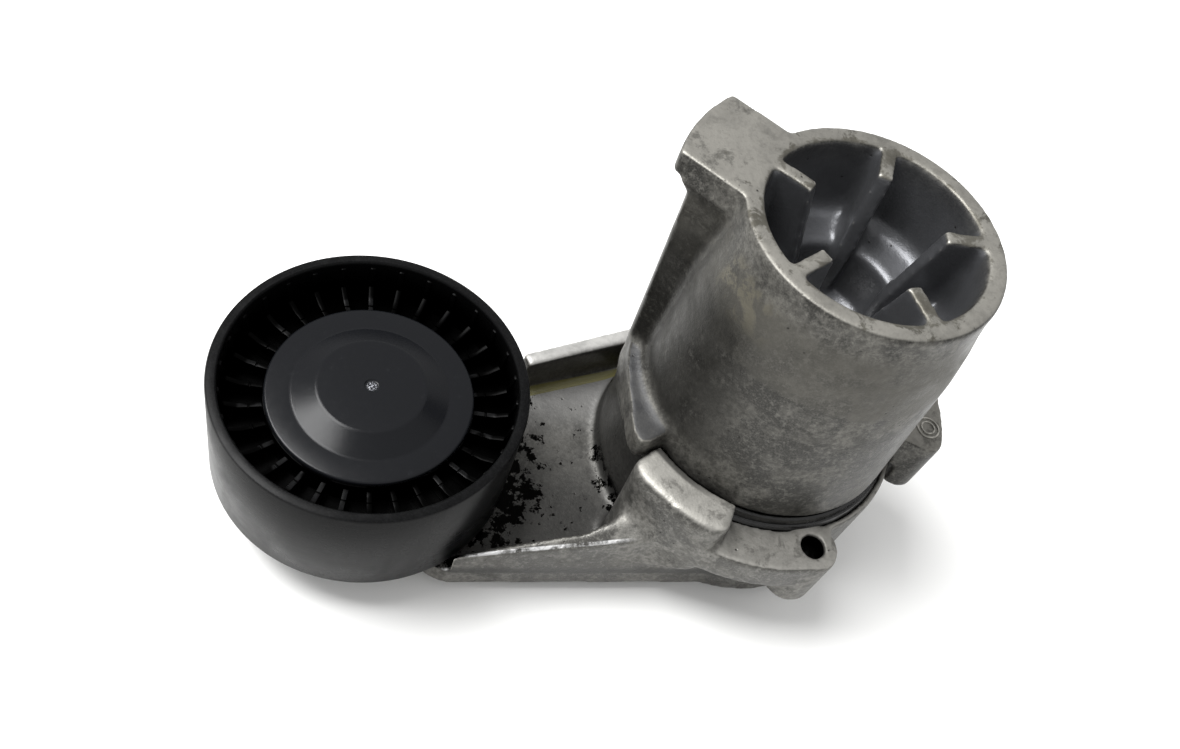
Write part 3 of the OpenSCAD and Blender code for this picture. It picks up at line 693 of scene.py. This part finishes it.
# the belt has rubbed faint rings round the wheel
rub = noise(tree, vector(tree, "MULTIPLY", on_piece(tree), (1, 1, 14)), 160, 5, 0.6)
colour = blend(tree, ramp(tree, skin["Grain"], 0.4, 0.7), grey(0.003, -0.05), grey(0.007, -0.05))
colour = blend(tree, ramp(tree, rub, 0.5, 0.75, 0.0, 0.3), colour, grey(0.016))
# painted shade: down in the channels the plastic is near black and a black metal, save a few ribs'
# tops that glint
channel = times(tree, ramp(tree, place["Radius"], 32.8, 32.4),
                ramp(tree, place["Rise"], 42, 36, 0.6, 1.0))
unshaded_rib_tops = times(tree, ramp(tree, place["Up"], 0.5, 0.7), ramp(tree, place["Rise"], 34.4, 34.6),
                 ramp(tree, place["Radius"], 29, 28),
                 ramp(tree, noise(tree, on_piece(tree), 110, 2), 0.52, 0.58))
channel_shade = times(tree, channel, less(tree, 1.0, unshaded_rib_tops))
link(tree, shader.inputs, {
    "Base Color": blend(tree, channel_shade, colour, grey(0.002)), "Metallic": channel_shade,
    "Roughness": plus(tree, ramp(tree, skin["Dust"], 0.35, 0.7, 0.2, 0.32),
                      times(tree, rub, 0.12)),
    "Normal": bump(tree, plus(tree, skin["Grain"], times(tree, rub, 0.6)), 0.12, 0.0001)})
finished("pulley_moulding", wheel, "pulley", ["pulley_wheel"], wheel_plastic,
         sharp=38)

# ------------------------------------------------------------------ Dust cap
# A thin black cap that snaps into the hub over the bolt's head: a flat flange, a shallow cone and a
# raised middle with the stub of its moulding gate.
cap = bmesh.new()
turned(cap, [
    (0, 40.62), (0.5, 40.6), (0.75, 40.3), (1.2, 40.2), (1.5, 40.25), (1.75, 40.5), (11.6, 40.5),
    (12.0, 40.46), (12.4, 40.32), (17.1, 37.93), (17.5, 37.82), (17.9, 37.8), (22.5, 37.8),
    (22.85, 37.72), (23.05, 37.5), (23.1, 37.2), (23.1, 36.7), (22.8, 36.32), (19.9, 36.32),
    (19.9, 34), (18.4, 34), (18.4, 36.3), (17, 36.3), (11.8, 39), (0, 39)],
    steps=160, centre=PULLEY, closed=False)
cap_plastic, tree, shader = new_material("cap_plastic", IOR=1.5, Specular_IOR_Level=0.16)
skin = use(tree, moulded_group, Grain_Scale=4200, Grain_Detail=2, Grain_Roughness=0.5,
           Dust_Scale=520, Dust_Detail=8, Dust_Roughness=0.75)
colour = blend(tree, ramp(tree, skin["Dust"], 0.58, 0.8, 0.0, 0.4), grey(0.006, -0.2),
               grey(0.02, -0.15))
# painted highlight: the torn-off stub of the gate is painted pale, and its relief is rough
gate = ramp(tree, use(tree, place_group, Centre=(*PULLEY, 40.5))["Distance"], 1.5, 0.6)
gate_glint = times(tree, gate, ramp(tree, skin["Grain"], 0.5, 0.6))
link(tree, shader.inputs, {
    "Base Color": blend(tree, gate_glint, colour, grey(0.45, -0.08)),
    "Roughness": ramp(tree, skin["Dust"], 0.3, 0.8, 0.2, 0.25),
    "Normal": bump(tree, plus(tree, skin["Grain"], times(tree, gate, skin["Dust"])),
                   0.06, 0.0002)})
finished("cap_moulding", cap, "pulley", ["dust_cap"], cap_plastic, sharp=38)

# ------------------------------------------------------------------ Floor, light and camera
# The part stands on a sheet of white paper, under one large soft light from the far left and an
# even white surround. The camera looks down on it from the near left.
paper, tree, shader = new_material("paper", Base_Color=(0.9, 0.9, 0.89, 1), Roughness=0.8)
ground = bmesh.new()
bmesh.ops.create_grid(ground, x_segments=1, y_segments=1, size=1.5)
floor_mesh = bpy.data.meshes.new("floor")
ground.to_mesh(floor_mesh)
ground.free()
floor_mesh.materials.append(paper)
floor = bpy.data.objects.new("floor", floor_mesh)
bpy.context.scene.collection.objects.link(floor)

world = bpy.data.worlds.new("studio")
bpy.context.scene.world = world
world.use_nodes = True
world.node_tree.nodes["Background"].inputs["Color"].default_value = (1, 1, 1, 1)
world.node_tree.nodes["Background"].inputs["Strength"].default_value = 0.75


def softbox(name, location, target, size, power):
    """A large square light that faces its target."""
    data = bpy.data.lights.new(name, "AREA")
    data.shape = "SQUARE"
    data.size = size
    data.energy = power
    lamp = bpy.data.objects.new(name, data)
    bpy.context.scene.collection.objects.link(lamp)
    lamp.location = location
    lamp.rotation_euler = (Vector(target) - Vector(location)).to_track_quat("-Z", "Y").to_euler()


softbox("top_light", (-0.85, 0.36, 1.65), (-0.04, 0, 0.03), 1.0, 56)

camera = bpy.data.objects.new("camera", bpy.data.cameras.new("camera"))
bpy.context.scene.collection.objects.link(camera)
camera.location = (-0.11552, -0.13637, 0.24865)
camera.rotation_euler = [math.radians(a) for a in (34.816, -13.754, -7.991)]
camera.data.lens = 33.94
camera.data.sensor_width = 36
camera.data.clip_start = 0.01
bpy.context.scene.camera = camera
bpy.context.scene.view_settings.view_transform = "Standard"
